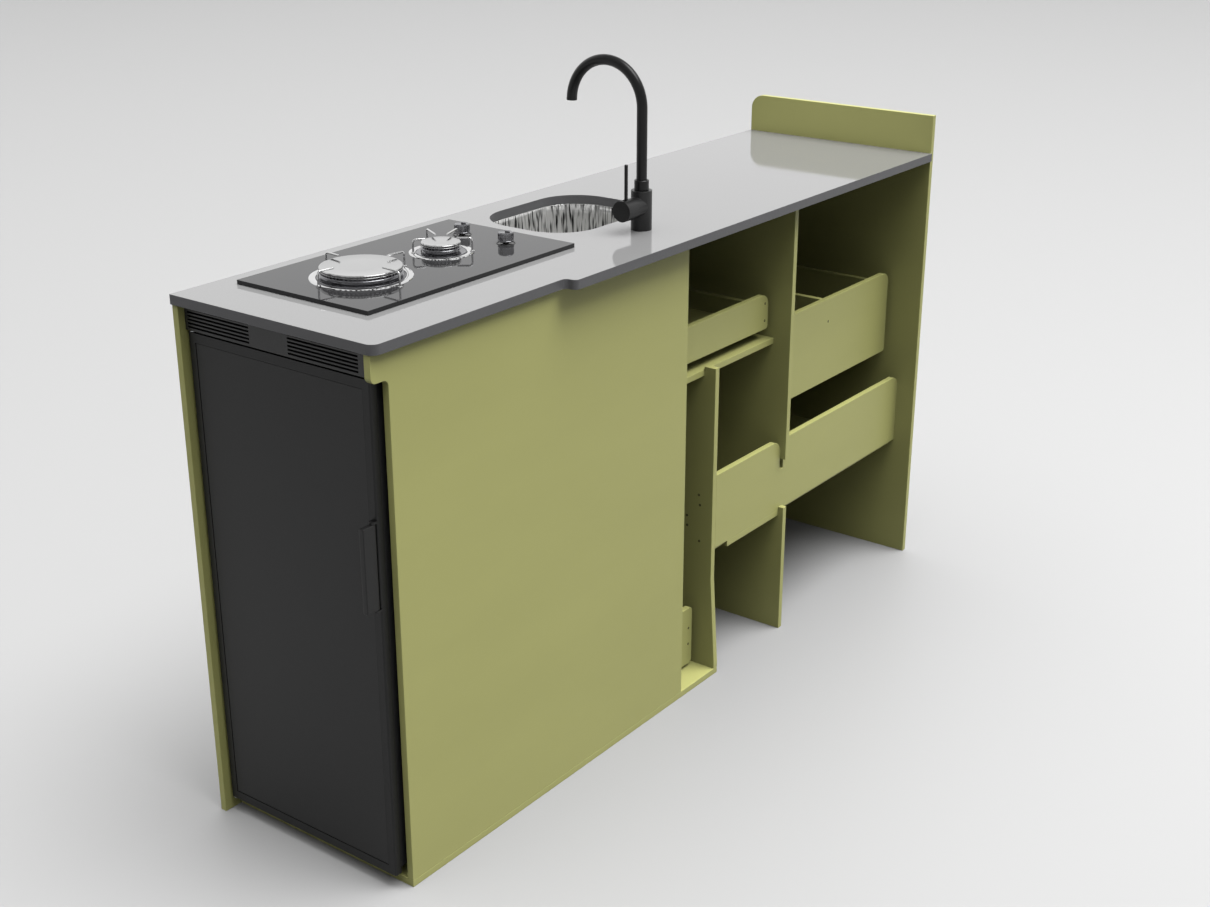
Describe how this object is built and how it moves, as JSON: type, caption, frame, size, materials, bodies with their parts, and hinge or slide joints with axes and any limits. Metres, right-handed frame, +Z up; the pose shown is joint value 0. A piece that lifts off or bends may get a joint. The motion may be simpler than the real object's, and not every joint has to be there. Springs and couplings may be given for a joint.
{
  "type": "campervan kitchen pod",
  "caption": "Slim campervan galley unit of painted plywood with a tall fridge, gas hob, round-cornered sink, swivel tap, drawers and open bins.",
  "frame": {"origin": "on the floor under the base board, at the middle of the carcass in length and depth", "axes": "+X along the unit from the fridge to the end panel, +Y from the open front to the rear panel, +Z up"},
  "size_m": [1.642, 0.439, 1.187],
  "materials": {
    "painted_ply": "satin olive green paint on birch plywood",
    "worktop_stone": "polished pale grey solid surface",
    "graphite": "satin graphite paint",
    "black_metal": "satin black coating",
    "black_plastic": "matt black plastic",
    "white_plastic": "smooth white plastic",
    "rubber": "matt black rubber",
    "mirror_steel": "mirror polished stainless steel",
    "brushed_steel": "brushed stainless steel",
    "zinc_steel": "zinc plated steel",
    "chrome": "bright chrome",
    "hob_glass": "smoked black tempered glass",
    "clear_glass": "clear shelf glass",
    "brass": "plain machined brass",
    "aluminium": "rolled aluminium",
    "ceramic": "glazed white ceramic",
    "door_plastic": "matt dark plastic"
  },
  "bodies": {
    "carcass": {"base_board": "painted_ply", "front_panel": "painted_ply", "rear_panel": "painted_ply", "end_panel": "painted_ply", "fridge_partition": "painted_ply", "bay_partition": "painted_ply", "intermediate_upright": "painted_ply", "mid_divider": "painted_ply", "upper_shelf": "painted_ply", "lower_shelves": "painted_ply", "front_board": "painted_ply", "worktop": "worktop_stone", "worktop_brackets": "zinc_steel", "cabinet_runners": "zinc_steel", "mounting_clips": "zinc_steel", "hinge_brackets": "zinc_steel", "sink_bowl": "mirror_steel", "sink_waste": "brushed_steel", "hob_tray": "brushed_steel", "hob_glass": "hob_glass", "burner_bases": "chrome", "burner_caps": "chrome", "burner_trims": "chrome", "pan_supports": "chrome", "igniters": "ceramic", "gas_valves": "brass", "tap_nut": "brass", "tap_tails": "brass", "vent_grille": "black_plastic", "fridge_feet": "black_plastic", "tap_body": "black_metal", "fridge_cabinet": "black_metal", "compressor": "black_metal", "fridge_liner": "white_plastic", "fridge_shelves": "clear_glass", "evaporator": "aluminium"},
    "fridge_door": {"door_frame": "graphite", "door_panel": "graphite", "door_core": "door_plastic", "door_gasket": "rubber", "door_rack": "white_plastic"},
    "door_latch": {"latch_lever": "graphite"},
    "left_drawer": {"left_drawer_front": "painted_ply", "left_drawer_box": "painted_ply", "left_drawer_runners": "zinc_steel"},
    "right_drawer": {"right_drawer_front": "painted_ply", "right_drawer_box": "painted_ply", "right_drawer_runners": "zinc_steel", "right_drawer_divider": "painted_ply"},
    "narrow_drawer": {"narrow_drawer_front": "painted_ply", "narrow_drawer_box": "painted_ply", "narrow_drawer_runners": "zinc_steel"},
    "front_push": {"front_spindle": "brass"},
    "front_dial": {"front_knob": "black_plastic"},
    "rear_push": {"rear_spindle": "brass"},
    "rear_dial": {"rear_knob": "black_plastic"},
    "spout": {"tap_spout": "black_metal"},
    "mixer_cap": {"tap_cap": "black_metal"},
    "mixer_lever": {"tap_lever": "black_metal"}
  },
  "joints": [
    {"name": "fridge_door_hinge", "type": "hinge", "parent": "carcass", "child": "fridge_door", "pos_m": [-0.795, 0.182, 0.434], "axis": [0, 0, -1], "range_deg": [0, 95]},
    {"name": "latch_pivot", "type": "hinge", "parent": "fridge_door", "child": "door_latch", "pos_m": [-0.80615, -0.18425, 0.558], "axis": [0, 0, 1], "range_deg": [0, 25], "stiffness_Nm_per_rad": 0.3, "springref_deg": -20.05},
    {"name": "left_drawer_slide", "type": "slide", "parent": "carcass", "child": "left_drawer", "axis": [0, -1, 0], "range_m": [0, 0.22]},
    {"name": "right_drawer_slide", "type": "slide", "parent": "carcass", "child": "right_drawer", "axis": [0, -1, 0], "range_m": [0, 0.22]},
    {"name": "narrow_drawer_slide", "type": "slide", "parent": "carcass", "child": "narrow_drawer", "axis": [0, -1, 0], "range_m": [0, 0.22]},
    {"name": "front_knob_push", "type": "slide", "parent": "carcass", "child": "front_push", "axis": [0, 0, -1], "range_m": [0, 0.003], "stiffness_N_per_m": 800, "springref_m": -0.002},
    {"name": "front_knob_turn", "type": "hinge", "parent": "front_push", "child": "front_dial", "pos_m": [-0.306, -0.021, 0.918], "axis": [0, 0, 1], "range_deg": [0, 210]},
    {"name": "rear_knob_push", "type": "slide", "parent": "carcass", "child": "rear_push", "axis": [0, 0, -1], "range_m": [0, 0.003], "stiffness_N_per_m": 800, "springref_m": -0.002},
    {"name": "rear_knob_turn", "type": "hinge", "parent": "rear_push", "child": "rear_dial", "pos_m": [-0.306, 0.074, 0.918], "axis": [0, 0, 1], "range_deg": [0, 210]},
    {"name": "spout_swivel", "type": "hinge", "parent": "carcass", "child": "spout", "pos_m": [-0.074, -0.127, 0.96], "axis": [0, 0, 1], "continuous": true},
    {"name": "mixer_turn", "type": "hinge", "parent": "carcass", "child": "mixer_cap", "pos_m": [-0.1185, -0.127, 0.941], "axis": [1, 0, 0], "range_deg": [-45, 45]},
    {"name": "mixer_tilt", "type": "hinge", "parent": "mixer_cap", "child": "mixer_lever", "pos_m": [-0.1185, -0.127, 0.941], "axis": [0, -1, 0], "range_deg": [0, 20]}
  ]
}
